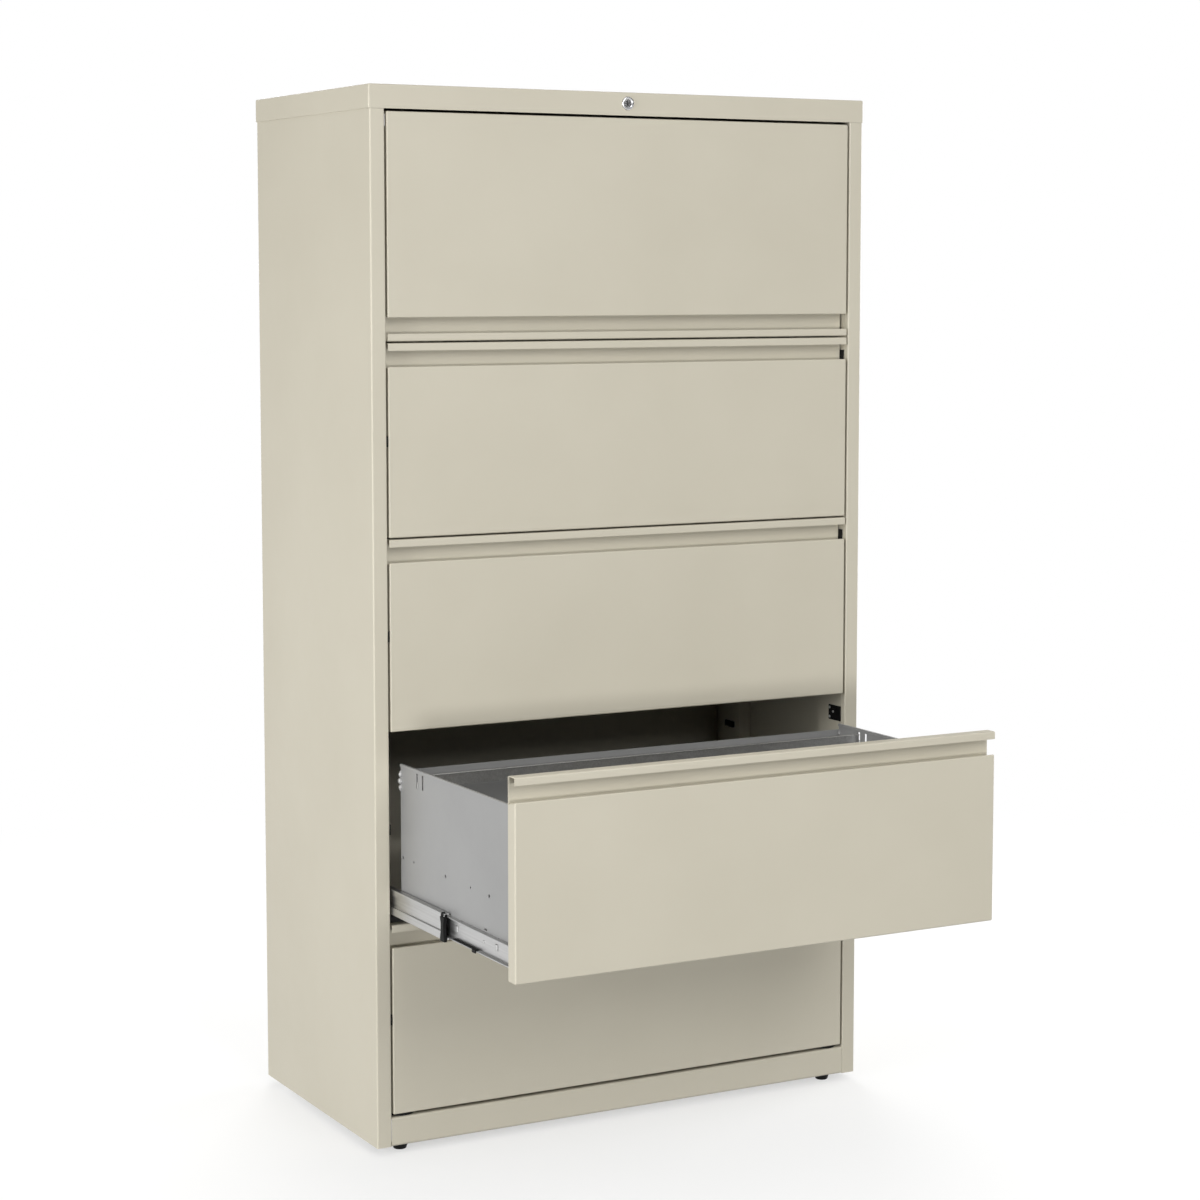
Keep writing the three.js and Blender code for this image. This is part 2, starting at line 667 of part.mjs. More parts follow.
// Lock: the plug's lug drives a link sideways, and the link's sloping slot lifts the bar's pin
const camFront = LOCK_BARREL_LENGTH + FIT;
const camRear = camFront + CAM_THICKNESS;
const linkFront = camRear + FIT;
const linkRear = linkFront + LINK_THICKNESS;
const lugOffset = LUG_THROW * Math.SQRT1_2;
const linkTravel = 2 * lugOffset;
const slotHalf = LUG_RADIUS + LINK_SLOT_CLEARANCE;
const slopeReach = slotHalf * Math.SQRT2;
const plateRight = sideInner - linkTravel - LINK_SIDE_CLEARANCE;
const pinX = plateRight - LINK_WALL - slopeReach;
const pinZ = lockZ + LOCK_BAR_PIN_RISE;

function lockCylinder() {
  const bore = LOCK_PLUG_RADIUS + FIT;
  const profile = [
    [bore, -LOCK_HEAD_PROUD],
    [LOCK_HEAD_RADIUS, -LOCK_HEAD_PROUD],
    [LOCK_HEAD_RADIUS, -FIT],
    [LOCK_BARREL_RADIUS, -FIT],
    [LOCK_BARREL_RADIUS, LOCK_BARREL_LENGTH],
    [bore, LOCK_BARREL_LENGTH],
    [bore, -LOCK_HEAD_PROUD],
  ];
  return turned(profile).translate(0, 0, lockZ);
}

function lockPlug() {
  const core = turned([
    [0, -LOCK_PLUG_PROUD],
    [LOCK_PLUG_RADIUS, -LOCK_PLUG_PROUD],
    [LOCK_PLUG_RADIUS, camFront],
    [CAM_RADIUS, camFront],
    [CAM_RADIUS, camRear],
    [0, camRear],
  ]).translate(0, 0, lockZ);
  const lug = rod('y', [-lugOffset, lockZ + lugOffset], LUG_RADIUS, camRear - 1, camRear + LUG_LENGTH);
  const keyway = block(
    [-KEYWAY_WIDTH / 2, KEYWAY_WIDTH / 2],
    [-LOCK_PLUG_PROUD - 1, KEYWAY_DEPTH - LOCK_PLUG_PROUD],
    [lockZ - KEYWAY_HEIGHT / 2, lockZ + KEYWAY_HEIGHT / 2],
  );
  return cut(join(core, lug), keyway);
}

function lockLink() {
  const margin = slopeReach + LINK_WALL;
  const thick = [linkFront, linkRear];
  const through = [linkFront - 1, linkRear + 1];
  const lugLow = lockZ + lugOffset - slotHalf;
  const lugHigh = lockZ + LUG_THROW + slotHalf;
  const bar = block([-LINK_LEFT_END, plateRight], thick, [lugLow - LINK_WALL, lugHigh + LINK_WALL]);
  const plate = block(
    [pinX - linkTravel - margin, plateRight],
    thick,
    [pinZ - margin, pinZ + linkTravel + margin],
  );
  const lugSlot = block([-lugOffset - slotHalf, -lugOffset + slotHalf], through, [lugLow, lugHigh]);
  const slopeLength = linkTravel * Math.SQRT2 + 2 * slotHalf;
  const slope = new THREE.BoxGeometry(slopeLength, through[1] - through[0], 2 * slotHalf);
  slope.rotateY(Math.PI / 4);
  slope.translate(pinX - linkTravel / 2, (through[0] + through[1]) / 2, pinZ + linkTravel / 2);
  return cut(join(bar, plate), lugSlot, slope);
}

// The bar runs down the middle of the post, and its head reaches across to the pin pressed into it
const lockBarFront = CAP_SHEET + FIT;
const lockBarRear = lockBarFront + LOCK_BAR_THICKNESS;

function lockBar() {
  const middle = (openingHalf + CASE_SHEET + sideInner) / 2;
  const left = middle - LOCK_BAR_WIDTH / 2;
  const right = middle + LOCK_BAR_WIDTH / 2;
  const thick = [lockBarFront, lockBarRear];
  const headHalf = LOCK_BAR_WIDTH / 2;
  const bar = block([left, right], thick, [LOCK_BAR_BOTTOM, pinZ + headHalf]);
  const head = block([Math.min(left, pinX - headHalf), right], thick, [pinZ - headHalf, pinZ + headHalf]);
  return join(bar, head);
}

function lockBarPin() {
  return rod('y', [pinX, pinZ], LUG_RADIUS, lockBarRear + FIT, linkRear + 1);
}

add(cabinet, 'lock_cylinder', lockCylinder(), chrome);
add(cabinet, 'lock_plug', lockPlug(), chrome);
add(cabinet, 'lock_link', lockLink(), zinc);
add(cabinet, 'lock_bar', lockBar(), zinc);
add(cabinet, 'lock_bar_pin', lockBarPin(), zinc);

// The open drawer reaches as far forward as its travel, so the middle of the footprint moves with it
cabinet.position.y = (drawerTravel - CABINET_DEPTH) / 2;

export default cabinet;
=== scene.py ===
# Looks of a lateral filing cabinet, in metres: x to the right, y to the back, z up
import json
import math

import bmesh
import bpy
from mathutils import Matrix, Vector


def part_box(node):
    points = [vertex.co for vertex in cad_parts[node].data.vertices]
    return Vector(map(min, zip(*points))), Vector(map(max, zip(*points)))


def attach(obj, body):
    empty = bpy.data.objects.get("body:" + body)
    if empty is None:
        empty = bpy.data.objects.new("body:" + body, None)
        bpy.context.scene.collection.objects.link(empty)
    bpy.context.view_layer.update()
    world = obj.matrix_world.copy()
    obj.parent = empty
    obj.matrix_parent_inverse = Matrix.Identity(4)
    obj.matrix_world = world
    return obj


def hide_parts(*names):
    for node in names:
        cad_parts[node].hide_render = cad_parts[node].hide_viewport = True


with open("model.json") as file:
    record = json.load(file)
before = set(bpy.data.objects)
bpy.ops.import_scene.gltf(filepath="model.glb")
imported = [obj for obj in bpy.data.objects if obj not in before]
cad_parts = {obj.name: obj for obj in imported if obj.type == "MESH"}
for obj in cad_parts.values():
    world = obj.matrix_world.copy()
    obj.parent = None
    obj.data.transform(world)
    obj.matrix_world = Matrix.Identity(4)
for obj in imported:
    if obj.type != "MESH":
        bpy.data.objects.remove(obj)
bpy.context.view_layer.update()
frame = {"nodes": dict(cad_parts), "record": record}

MM = 0.001
DRAWERS = (1, 2, 3, 4)
SIDES = (("left", -1), ("right", 1))
FEET = ("front_left_foot", "front_right_foot", "rear_left_foot", "rear_right_foot")

# Fineness of the meshes
WELD_DISTANCE = 0.005 * MM
SHARP_ANGLE = math.radians(40)
FLAT_ANGLE = math.radians(0.5)
FOLD_STEPS = 4
EDGE_STEPS = 2
ROUND_SIDES = 48
SMALL_SIDES = 24
HEAD_SIDES = 20

# CAD nodes that stay: how far their edges are rounded, and those with square edges
CAD_EDGE = 0.35 * MM
SQUARE_EDGED = ("door_carriage",)

# Folded sheet
FRONT_SHEET = 1.0 * MM
CAP_SHEET = 1.2 * MM
CASE_SHEET = 1.0 * MM
FOLD_RADIUS = 2.4 * MM
HOLE_REACH = 5 * MM

# Drawer fronts and door
LIP_HEIGHT = 11.9 * MM
PULL_HEIGHT = 24.6 * MM
PULL_FLOOR_FALL = 5 * MM
CHEEK_RETURN = 22 * MM
CHEEK_EDGE = 0.2 * MM
HINGE_BORE = 3.3 * MM

# Case
POST_RETURN = 12 * MM
NOTCH_MARGIN = 1 * MM
REAR_FLANGE = 20 * MM
CAP_GAP = 0.3 * MM
CAP_HEM = 8 * MM
HEM_SET_BACK = 0.9 * CAP_SHEET
HEM_EDGE = 0.4 * MM
PLINTH_FOLD = 4 * MM
PLINTH_RETURN = 12 * MM
PLINTH_FOOT_RETURN = 22 * MM

# Lock, with the face of its ring from the bore outwards: radius, and share of how proud the ring is
LOCK_BORE = 6.3 * MM
LOCK_HEAD = 11 * MM
LOCK_PROUD = 2.6 * MM
LOCK_BARREL = 9.2 * MM
LOCK_HOLE = 9.4 * MM
LOCK_SIDES = 64
LOCK_FACE = (
    (LOCK_BORE, 0.5),
    (LOCK_BORE + 0.3 * MM, 0.6),
    (LOCK_HEAD - 2.6 * MM, 0.85),
    (LOCK_HEAD - 2.2 * MM, 1),
    (LOCK_HEAD - 1.3 * MM, 1),
    (LOCK_HEAD - 0.4 * MM, 0.8),
    (LOCK_HEAD, 0.4),
    (LOCK_HEAD, 0),
)

# Keyway, an arc in the face of the plug; its black strip is painted shade that stands in for the dark inside
# of the slot
KEYWAY_RADIUS = 4 * MM
KEYWAY_WIDTH = 1.3 * MM
KEYWAY_TURN = math.radians(120)
KEYWAY_STEPS = 8
KEYWAY_PROUD = 0.15 * MM
KEYWAY_SUNK = 0.5 * MM

# Levelling feet, with the outline of the pad as radius and height
PAD_HEIGHT = 9 * MM
PAD_TOP = 13 * MM
PAD_BASE = 10.5 * MM
PAD_OUTLINE = (
    (0, 0),
    (PAD_BASE - 0.8 * MM, 0),
    (PAD_BASE, 0.6 * MM),
    (PAD_TOP - 0.5 * MM, PAD_HEIGHT - 2.0 * MM),
    (PAD_TOP, PAD_HEIGHT - 1.2 * MM),
    (PAD_TOP - 0.2 * MM, PAD_HEIGHT - 0.4 * MM),
    (PAD_TOP - 0.8 * MM, PAD_HEIGHT),
    (0, PAD_HEIGHT),
)
STUD_RADIUS = 3.6 * MM
THREAD_PITCH = 1.5 * MM
THREAD_DEPTH = 0.5 * MM
NUT_RADIUS = 7.5 * MM
NUT_SIDES = 6
NUT_GAP = 0.3 * MM

# Bushes that the feet screw into, with radius and height of neck and head
BUSH_NECK = (13 * MM, 1.7 * MM)
BUSH_HEAD = (23.5 * MM, 5.4 * MM)
BUSH_EDGE = 0.8 * MM
BUSH_GAP = 0.4 * MM

# Slide stops, from the front end of the middle member, with the waist's ends as shares of half the height
STOP_AHEAD = 3.4 * MM
STOP_BEHIND = 12 * MM
STOP_HEIGHT = 46 * MM
STOP_WAIST = 9.6 * MM
STOP_WAIST_ABOVE = 0.25
STOP_WAIST_BELOW = 0.35
STOP_FOOT = 4 * MM
STOP_RIM = 0.4 * MM
STOP_KNOB = 4.2 * MM
STOP_KNOB_EDGE = 0.6 * MM
STOP_GAP = 0.6 * MM
STOP_PROUD = 1.4 * MM

# Tabs and release levers of the slides, from the front plane of a drawer
SLIDE_SHEET = 1.5 * MM
TABS_FROM_FRONT = (83 * MM, 218 * MM)
TAB_SIZE = (8 * MM, 10 * MM)
TAB_LIFT = 2 * MM
TAB_RISE = 1.4 * MM
TAB_SUNK = 0.5 * MM
TAB_EDGE = 1.2 * MM
TAB_STEPS = 3
SLIDE_RIVET_FROM_FRONT = 126 * MM
SLIDE_RIVET_LIFT = 1.5 * MM
LEVER_FROM_FRONT = (140 * MM, 222 * MM)
LEVER_HEIGHT = 1.2 * MM
LEVER_GAP = 0.2 * MM
LEVER_SET_OUT = 1 * MM
LEVER_EDGE = 0.3 * MM
TRIGGER_LENGTH = 12 * MM
TRIGGER_DROP = 2.2 * MM
TRIGGER_OUT = (0.1 * MM, 2 * MM)
TRIGGER_EDGE = 0.5 * MM
TRIGGER_NECK_REACH = 1 * MM
TRIGGER_NECK_HEIGHT = 0.8 * LEVER_HEIGHT

# Curled catch at the rear edge of each tray side, below the top of the tray
CATCH_DROP = (10 * MM, 44 * MM)
CATCH_RADIUS = 5 * MM
CATCH_SET_IN = 1 * MM
CATCH_STEPS = 36
CATCH_LOBES = 3
CATCH_FULLNESS = 0.6
CATCH_NECK_SHARE = 0.25
CATCH_END_SHARE = 0.45

# Interlock and guides on the uprights, behind the face of the cap and below the top of a drawer front
INTERLOCK_BEHIND = (12 * MM, 48 * MM)
INTERLOCK_BELOW = (48 * MM, 22 * MM)
INTERLOCK_PLATE = 2.2 * MM
INTERLOCK_PLATE_EDGE = 0.5 * MM
INTERLOCK_BOSS = 3.8 * MM
INTERLOCK_BOSS_REACH = (6 * MM, 7 * MM)
INTERLOCK_BOSS_EDGE = 0.6 * MM
PIN_FROM_FRONT = 19 * MM
PIN_LIFT = 2 * MM
INTERLOCK_SCREWS = (5 * MM, 21 * MM)
SCREWS_FROM_REAR = 4 * MM
REAR_GUIDE_BEHIND = (366 * MM, 395 * MM)
REAR_GUIDE_BELOW = (110 * MM, 99 * MM)
REAR_GUIDE_DEPTH = 4 * MM
REAR_GUIDE_EDGE = 0.6 * MM
LEFT_GUIDE_BEHIND = (0.5 * MM, 7 * MM)
LEFT_GUIDE_BELOW = (162 * MM, 145 * MM)
LEFT_GUIDE_DEPTH = 2.2 * MM
LEFT_GUIDE_EDGE = 0.5 * MM

# Rivets that hold the back
RIVET_COUNT = 7
RIVET_FROM_BOTTOM = 40 * MM
RIVET_FROM_TOP = 11.9 * MM

# Domed heads: radius, height of the edge, radius and height of the crown, height of the middle
SLIDE_RIVET = (2.4 * MM, 0.4 * MM, 1.68 * MM, 0.9 * MM, 1.1 * MM)
INTERLOCK_SCREW = (2.4 * MM, 0.6 * MM, 1.6 * MM, 1.2 * MM, 1.4 * MM)
BACK_RIVET = (3.2 * MM, 0.36 * MM, 2.4 * MM, 0.96 * MM, 1.2 * MM)

# Finishes: gloss, how far the roughness strays down and up, and the part of a noise's range that drives them
PAINT_GLOSS = 0.45
PLASTIC_GLOSS = 0.12
PAINT_STRAY = (0.04, 0.04)
ZINC_STRAY = (0.08, 0.08)
CHROME_STRAY = (0.03, 0.05)
PLASTIC_STRAY = (0.06, 0.06)
NOISE_LOW = 0.25
NOISE_HIGH = 0.75

# Light: soft boxes with place, target, size and power, and a sky that fades towards the horizon
SOFT_BOXES = {
    "front_high": ((0.45, -5.2, 3.6), (0, -0.2, 0.6), 3.0, 135),
    "front_low": ((-1.2, -7.0, 0.42), (0, -0.2, 0.3), 0.7, 174),
    "left": ((-4.9, -0.85, 1.3), (0, 0.1, 0.6), 2.5, 205),
    "right": ((5.0, 0.9, 1.6), (0, 0.1, 0.7), 2.5, 150),
    "rear": ((1.6, 5.0, 2.2), (0, 0.3, 0.8), 3.0, 170),
}
SKY_ABOVE = 0.59
SKY_BELOW = 0.28
SKY_FADE = (0.1, 0.5)
WHITE = (1.0, 1.0, 1.0, 1.0)

# Floor, which glows near the cabinet and goes over into white further out
FLOOR_REACH = 60
FLOOR_DARK = (0.86, 0.86, 0.85)
FLOOR_LIGHT = (0.88, 0.88, 0.87)
FLOOR_ROUGHNESS = 0.8
FLOOR_STRAY = (0.05, 0.05)
FLOOR_NEAR = 1.0
FLOOR_FAR = 2.8
FLOOR_GLOW = 0.55

# Camera that stood left of the cabinet, at eye height
CAMERA_PLACE = (-2.1963, -3.9739, 1.4065)
CAMERA_PITCH = math.radians(90 - 5.513)
CAMERA_YAW = math.radians(-28.476)
CAMERA_LENS = 82.94
CAMERA_SHIFT_Y = -0.05


# Shader helpers

def start_material(name):
    """A new material and its principled shader."""
    made = bpy.data.materials.new(name)
    made.use_nodes = True
    return made, made.node_tree.nodes["Principled BSDF"]


def add_node(owner, kind, links=None, **values):
    """A shader node of a material or world, with its sockets set by value or linked to other sockets."""
    added = owner.node_tree.nodes.new(kind)
    for socket, value in values.items():
        added.inputs[socket.replace("_", " ")].default_value = value
    for socket, source in (links or {}).items():
        owner.node_tree.links.new(source, added.inputs[socket])
    return added


def stretched(made, scale=(1, 1, 1)):
    """Object coordinates stretched by a scale for each axis."""
    place = add_node(made, "ShaderNodeTexCoord").outputs["Object"]
    return add_node(made, "ShaderNodeMapping", {"Vector": place}, Scale=scale).outputs["Vector"]


def noise(made, place, scale, detail=2.0):
    """Noise at a number of features per metre."""
    return add_node(made, "ShaderNodeTexNoise", {"Vector": place}, Scale=scale, Detail=detail).outputs[0]


def roughened(made, shader, factor, roughness, stray):
    """Drives the roughness by a noise factor, so that it strays down and up from its middle value."""
    down, up = stray
    mapped = add_node(
        made,
        "ShaderNodeMapRange",
        {"Value": factor},
        From_Min=NOISE_LOW,
        From_Max=NOISE_HIGH,
        To_Min=roughness - down,
        To_Max=roughness + up,
    )
    made.node_tree.links.new(mapped.outputs["Result"], shader.inputs["Roughness"])


def tinted(made, shader, factor, dark, light):
    """Drives the base colour from dark to light by a noise factor."""
    ramp = add_node(made, "ShaderNodeValToRGB", {"Fac": factor})
    stops = ((NOISE_LOW, dark), (NOISE_HIGH, light))
    for element, (position, colour) in zip(ramp.color_ramp.elements, stops):
        element.position = position
        element.color = (*colour, 1.0)
    made.node_tree.links.new(ramp.outputs["Color"], shader.inputs["Base Color"])


def bumped(made, shader, height, strength, depth):
    """Raises the surface by a noise height."""
    bump = add_node(made, "ShaderNodeBump", {"Height": height}, Strength=strength, Distance=depth)
    made.node_tree.links.new(bump.outputs["Normal"], shader.inputs["Normal"])


# Materials

def sprayed_paint(name, dark, light, roughness, metallic=0.0):
    """Powder coat: a faint cloudiness over a panel and a fine orange peel."""
    made, shader = start_material(name)
    shader.inputs["Metallic"].default_value = metallic
    shader.inputs["Specular IOR Level"].default_value = PAINT_GLOSS
    place = stretched(made)
    tinted(made, shader, noise(made, place, scale=5, detail=5.0), dark, light)
    patches = noise(made, place, scale=40, detail=3.0)
    roughened(made, shader, patches, roughness, PAINT_STRAY)
    peel = noise(made, place, scale=420, detail=2.5)
    bumped(made, shader, peel, strength=0.12, depth=0.2 * MM)
    return made


def plated_steel(name, dark, light, roughness):
    """Zinc plate drawn along the slide, with faint streaks."""
    made, shader = start_material(name)
    shader.inputs["Metallic"].default_value = 1.0
    streaks = noise(made, stretched(made, scale=(400, 6, 400)), scale=1, detail=3.0)
    tinted(made, shader, streaks, dark, light)
    roughened(made, shader, streaks, roughness, ZINC_STRAY)
    bumped(made, shader, streaks, strength=0.1, depth=0.05 * MM)
    return made


def polished_metal(name, dark, light, roughness):
    """Bright plate with fine polishing marks."""
    made, shader = start_material(name)
    shader.inputs["Metallic"].default_value = 1.0
    marks = noise(made, stretched(made, scale=(900, 900, 900)), scale=1, detail=3.0)
    tinted(made, shader, marks, dark, light)
    roughened(made, shader, marks, roughness, CHROME_STRAY)
    bumped(made, shader, marks, strength=0.04, depth=0.02 * MM)
    return made


def moulded_plastic(name, dark, light, roughness):
    """Moulded plastic with a fine spark-eroded grain."""
    made, shader = start_material(name)
    shader.inputs["Specular IOR Level"].default_value = PLASTIC_GLOSS
    place = stretched(made)
    tinted(made, shader, noise(made, place, scale=90, detail=3.0), dark, light)
    grain = noise(made, place, scale=1100)
    roughened(made, shader, grain, roughness, PLASTIC_STRAY)
    bumped(made, shader, grain, strength=0.25, depth=0.06 * MM)
    return made


def make_materials():
    """The five finishes of the record, by slot."""
    return {
        "putty_paint": sprayed_paint(
            "putty_paint",
            dark=(0.512, 0.478, 0.386),
            light=(0.540, 0.506, 0.412),
            roughness=0.48,
        ),
        "tray_steel": sprayed_paint(
            "tray_steel",
            dark=(0.31, 0.31, 0.307),
            light=(0.345, 0.345, 0.341),
            roughness=0.42,
            metallic=0.35,
        ),
        "zinc": plated_steel(
            "zinc",
            dark=(0.47, 0.47, 0.465),
            light=(0.60, 0.60, 0.595),
            roughness=0.36,
        ),
        "chrome": polished_metal(
            "chrome",
            dark=(0.52, 0.52, 0.53),
            light=(0.62, 0.62, 0.62),
            roughness=0.2,
        ),
        "black_plastic": moulded_plastic(
            "black_plastic",
            dark=(0.004, 0.004, 0.004),
            light=(0.008, 0.008, 0.008),
            roughness=0.5,
        ),
    }


MATERIALS = make_materials()


# Outlines

def fillet(points, radius):
    """An open polyline with its inner corners turned into arcs."""
    path = [Vector(points[0])]
    for before, corner, after in zip(points, points[1:], points[2:]):
        corner = Vector(corner)
        back = (Vector(before) - corner).normalized()
        ahead = (Vector(after) - corner).normalized()
        half = back.angle(ahead) / 2
        centre = corner + (back + ahead).normalized() * radius / math.sin(half)
        start = corner + back * radius / math.tan(half) - centre
        end = corner + ahead * radius / math.tan(half) - centre
        turn = start.angle(end)
        for step in range(FOLD_STEPS + 1):
            angle = turn * step / FOLD_STEPS
            arc = (start * math.sin(turn - angle) + end * math.sin(angle)) / math.sin(turn)
            path.append(centre + arc)
    path.append(Vector(points[-1]))
    return path


def ribbon(path, thickness):
    """Closed outline of a sheet of that thickness whose middle follows the path."""
    left = []
    right = []
    for index, point in enumerate(path):
        ahead = path[min(index + 1, len(path) - 1)] - path[max(index - 1, 0)]
        normal = Vector((-ahead.y, ahead.x)).normalized() * thickness / 2
        left.append(point + normal)
        right.append(point - normal)
    return left + right[::-1]


def on_axis(axis, a, b, along):
    """A point from its place across an axis and its place along it."""
    return {"x": (along, a, b), "y": (a, along, b), "z": (a, b, along)}[axis]


def across(sign, near, far):
    """A range across the cabinet on one side, from its distances to the middle."""
    return sorted((sign * near, sign * far))


# Solids

def sweep(bm, outline, axis, start, end):
    """A closed outline carried from start to end along an axis."""
    near = [bm.verts.new(on_axis(axis, a, b, start)) for a, b in outline]
    far = [bm.verts.new(on_axis(axis, a, b, end)) for a, b in outline]
    for index in range(len(outline)):
        bm.faces.new((near[index - 1], near[index], far[index], far[index - 1]))
    bm.faces.new(near)
    bm.faces.new(far)


def lathe(bm, profile, centre, axis, sides=ROUND_SIDES):
    """A profile of radius and height turned about an axis, closed on the axis or on itself."""
    rings = []
    for radius, height in profile:
        count = sides if radius > 0 else 1
        ring = []
        for index in range(count):
            angle = 2 * math.pi * index / sides
            offset = on_axis(axis, radius * math.cos(angle), radius * math.sin(angle), height)
            ring.append(bm.verts.new(Vector(centre) + Vector(offset)))
        rings.append(ring)
    for ring, after in zip(rings, rings[1:]):
        for index in range(sides):
            corners = [ring[index - 1], ring[index]] if len(ring) > 1 else ring[:]
            corners += [after[index], after[index - 1]] if len(after) > 1 else after
            bm.faces.new(corners)


def domed_head(bm, head, centre, axis, sign):
    """A domed head that stands out from its centre along an axis."""
    radius, edge, crown_radius, crown, middle = head
    profile = [(0, 0), (radius, 0), (radius, edge), (crown_radius, crown), (0, middle)]
    lathe(bm, [(out, sign * height) for out, height in profile], centre, axis, HEAD_SIDES)


def merge(bm, part):
    """Adds another mesh in the making to this one."""
    mesh = bpy.data.meshes.new("part")
    part.to_mesh(mesh)
    part.free()
    bm.from_mesh(mesh)
    bpy.data.meshes.remove(mesh)


def round_edges(bm, edges, radius, steps=EDGE_STEPS):
    """Rounds some edges of a mesh in the making."""
    bmesh.ops.bevel(bm, geom=edges, offset=radius, segments=steps, profile=0.5, affect="EDGES")


def cuboid(lo, hi):
    """A new mesh in the making that holds one box."""
    part = bmesh.new()
    bmesh.ops.create_cube(part, size=1)
    for vertex in part.verts:
        vertex.co = [low + (high - low) * (share + 0.5) for low, high, share in zip(lo, hi, vertex.co)]
    return part


def block(bm, lo, hi, radius, steps=EDGE_STEPS):
    """A box with rounded edges."""
    part = cuboid(lo, hi)
    round_edges(part, part.edges[:], radius, steps)
    merge(bm, part)


def side_block(bm, sign, out, along, up, radius, steps=EDGE_STEPS):
    """A box with rounded edges on one side, from its ranges outwards, to the back and up."""
    near, far = across(sign, *out)
    block(bm, (near, along[0], up[0]), (far, along[1], up[1]), radius, steps)


def as_object(name, bm):
    """An object that holds what was a mesh in the making."""
    mesh = bpy.data.meshes.new(name)
    bm.to_mesh(mesh)
    bm.free()
    made = bpy.data.objects.new(name, mesh)
    bpy.context.collection.objects.link(made)
    return made


def carved(part, tool):
    """The mesh in the making without what a second one takes up."""
    passing = []
    for solid in (part, tool):
        bmesh.ops.recalc_face_normals(solid, faces=solid.faces[:])
        passing.append(as_object("passing", solid))
    cut = passing[0].modifiers.new("cut", "BOOLEAN")
    cut.object = passing[1]
    result = bmesh.new()
    result.from_object(passing[0], bpy.context.evaluated_depsgraph_get())
    for made in passing:
        bpy.data.meshes.remove(made.data)
    return result


def bored(part, axis, centres, radius):
    """The mesh in the making with round holes along an axis."""
    drill = bmesh.new()
    outline = [(0, -HOLE_REACH), (radius, -HOLE_REACH), (radius, HOLE_REACH), (0, HOLE_REACH)]
    for centre in centres:
        lathe(drill, outline, centre, axis)
    return carved(part, drill)


def open_shell(bm, part, opening, thickness, holes=()):
    """Turns a box into a folded sheet with rounded folds, open towards one direction."""
    part.normal_update()
    open_faces = [face for face in part.faces if face.normal.dot(opening) > math.cos(SHARP_ANGLE)]
    bmesh.ops.delete(part, geom=open_faces, context="FACES_ONLY")
    folds = [edge for edge in part.edges if not edge.is_boundary]
    round_edges(part, folds, FOLD_RADIUS, FOLD_STEPS)
    bmesh.ops.solidify(part, geom=part.faces[:], thickness=thickness)
    if holes:
        part = bored(part, *holes)
    merge(bm, part)


# Pieces and the record

def hinge_place(name):
    """A point on the axis of a hinge of the record."""
    places = {joint["name"]: joint.get("pos_m") for joint in frame["record"]["behaviour"]["joints"]}
    return Vector(places[name])


def node_slots():
    """The material slot of each CAD node, as the record gives it."""
    return {part["node"]: part["material_slot"] for part in frame["record"]["subparts"]}


def add_piece(name, bm, slot, body, node=None):
    """Makes the piece, with smooth folds and flat faces, and says what it rides on and stands for."""
    bmesh.ops.remove_doubles(bm, verts=bm.verts[:], dist=WELD_DISTANCE)
    bmesh.ops.recalc_face_normals(bm, faces=bm.faces[:])
    piece = as_object(name, bm)
    mesh = piece.data
    mesh.polygons.foreach_set("use_smooth", [True] * len(mesh.polygons))
    mesh.set_sharp_from_angle(angle=SHARP_ANGLE)
    mesh.materials.append(MATERIALS[slot])
    normals = piece.modifiers.new("flat_faces", "WEIGHTED_NORMAL")
    normals.keep_sharp = True
    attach(piece, body)
    if node:
        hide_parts(node)


def finish_cad_nodes():
    """Materials from the record and fine rounded edges on the CAD nodes that stay."""
    for name, slot in node_slots().items():
        node = frame["nodes"][name]
        node.data.materials.clear()
        node.data.materials.append(MATERIALS[slot])
        weld = node.modifiers.new("weld", "WELD")
        weld.merge_threshold = WELD_DISTANCE
        if name in SQUARE_EDGED:
            continue
        flats = node.modifiers.new("flats", "DECIMATE")
        flats.decimate_type = "DISSOLVE"
        flats.angle_limit = FLAT_ANGLE
        edges = node.modifiers.new("edges", "BEVEL")
        edges.width = CAD_EDGE
        edges.segments = EDGE_STEPS
        edges.limit_method = "ANGLE"
        edges.angle_limit = SHARP_ANGLE


# Painted fronts

def front_piece(node, body, upside_down=False):
    """A drawer front: a folded panel under a full-width finger pull. The door is one upside down."""
    lo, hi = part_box(node)
    panel_top = hi.z - LIP_HEIGHT - PULL_HEIGHT
    panel_rear = panel_top - PULL_FLOOR_FALL
    panel = cuboid(lo, (hi.x, hi.y, panel_top))
    for vertex in panel.verts:
        if vertex.co.y > lo.y and vertex.co.z > lo.z:
            vertex.co.z -= PULL_FLOOR_FALL
    holes = ()
    if upside_down:
        hinge = hinge_place("door_flip")
        height = lo.z + hi.z - hinge.z
        holes = ("x", [(lo.x, hinge.y, height), (hi.x, hinge.y, height)], HINGE_BORE)
    bm = bmesh.new()
    open_shell(bm, panel, Vector((0, 1, 0)), FRONT_SHEET, holes)
    half = FRONT_SHEET / 2
    pull = [
        (hi.y - half, panel_rear - half),
        (hi.y - half, hi.z - half),
        (lo.y + half, hi.z - half),
        (lo.y + half, hi.z - LIP_HEIGHT),
    ]
    sweep(bm, ribbon(fillet(pull, FOLD_RADIUS - half), FRONT_SHEET), "x", lo.x, hi.x)
    for edge, inward in ((lo.x, 1), (hi.x, -1)):
        near, far = sorted((edge + inward * FRONT_SHEET, edge + inward * CHEEK_RETURN))
        block(
            bm,
            (near, hi.y - FRONT_SHEET, lo.z + FOLD_RADIUS),
            (far, hi.y, panel_rear - FOLD_RADIUS),
            CHEEK_EDGE,
        )
    if upside_down:
        for vertex in bm.verts:
            vertex.co.z = lo.z + hi.z - vertex.co.z
    add_piece(f"{node}_folded", bm, "putty_paint", body, node)


# Painted case

